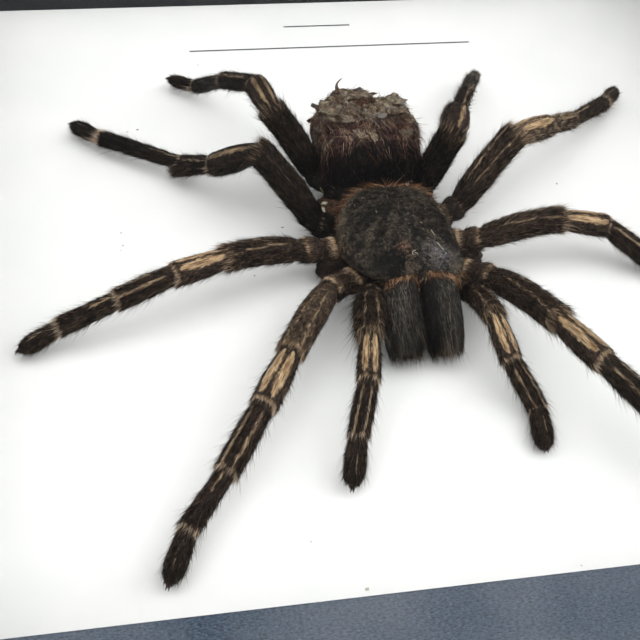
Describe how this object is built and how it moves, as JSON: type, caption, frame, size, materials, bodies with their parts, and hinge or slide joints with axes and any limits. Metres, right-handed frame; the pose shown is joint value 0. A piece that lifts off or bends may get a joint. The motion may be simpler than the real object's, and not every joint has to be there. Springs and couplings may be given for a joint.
{
  "type": "framed tarantula specimen",
  "caption": "Large dried spider with legs spread, glued to the white backing board of a deep black box frame under glass, hung from a toothed plate.",
  "frame": {"origin": "centre of the back of the frame, in the plane of the rails' back faces", "axes": "+Z out through the glass; +Y towards the edge that is at the top when the frame hangs, where the spider's head points; +X to the right as seen from the front"},
  "size_m": [0.228, 0.228, 0.044],
  "materials": {
    "rail_paint": "satin black-grey paint on wood",
    "black_card": "matt black card on foam",
    "white_board": "smooth matt white mount board",
    "back_board": "raw hardboard",
    "clear_glass": "clear float glass",
    "zinc_steel": "zinc-plated sheet",
    "dark_hair": "dense dark brown hair over dried cuticle, with pale bands",
    "olive_shell": "short grey-olive down on dried cuticle",
    "rust_hair": "long clumped reddish-brown hair"
  },
  "bodies": {
    "root": {"rail_top": "rail_paint", "rail_bottom": "rail_paint", "rail_left": "rail_paint", "rail_right": "rail_paint", "backing_board": "white_board", "glass_pane": "clear_glass", "inner_wall_top": "black_card", "inner_wall_bottom": "black_card", "inner_wall_left": "black_card", "inner_wall_right": "black_card", "back_panel": "back_board", "retaining_tab_bottom_1": "zinc_steel", "retaining_tab_bottom_2": "zinc_steel", "retaining_tab_right_1": "zinc_steel", "retaining_tab_right_2": "zinc_steel", "retaining_tab_top_1": "zinc_steel", "retaining_tab_top_2": "zinc_steel", "retaining_tab_left_1": "zinc_steel", "retaining_tab_left_2": "zinc_steel", "hanger_plate": "zinc_steel", "hanger_rivet_1": "zinc_steel", "hanger_rivet_2": "zinc_steel", "carapace": "olive_shell", "abdomen": "rust_hair", "chelicera_right": "olive_shell", "chelicera_left": "olive_shell", "fang_right": "dark_hair", "fang_left": "dark_hair", "leg_right_1": "dark_hair", "leg_right_2": "dark_hair", "leg_right_3": "dark_hair", "leg_right_4": "dark_hair", "leg_left_1": "dark_hair", "leg_left_2": "dark_hair", "leg_left_3": "dark_hair", "leg_left_4": "dark_hair", "palp_right": "dark_hair", "palp_left": "dark_hair"}
  },
  "joints": []
}
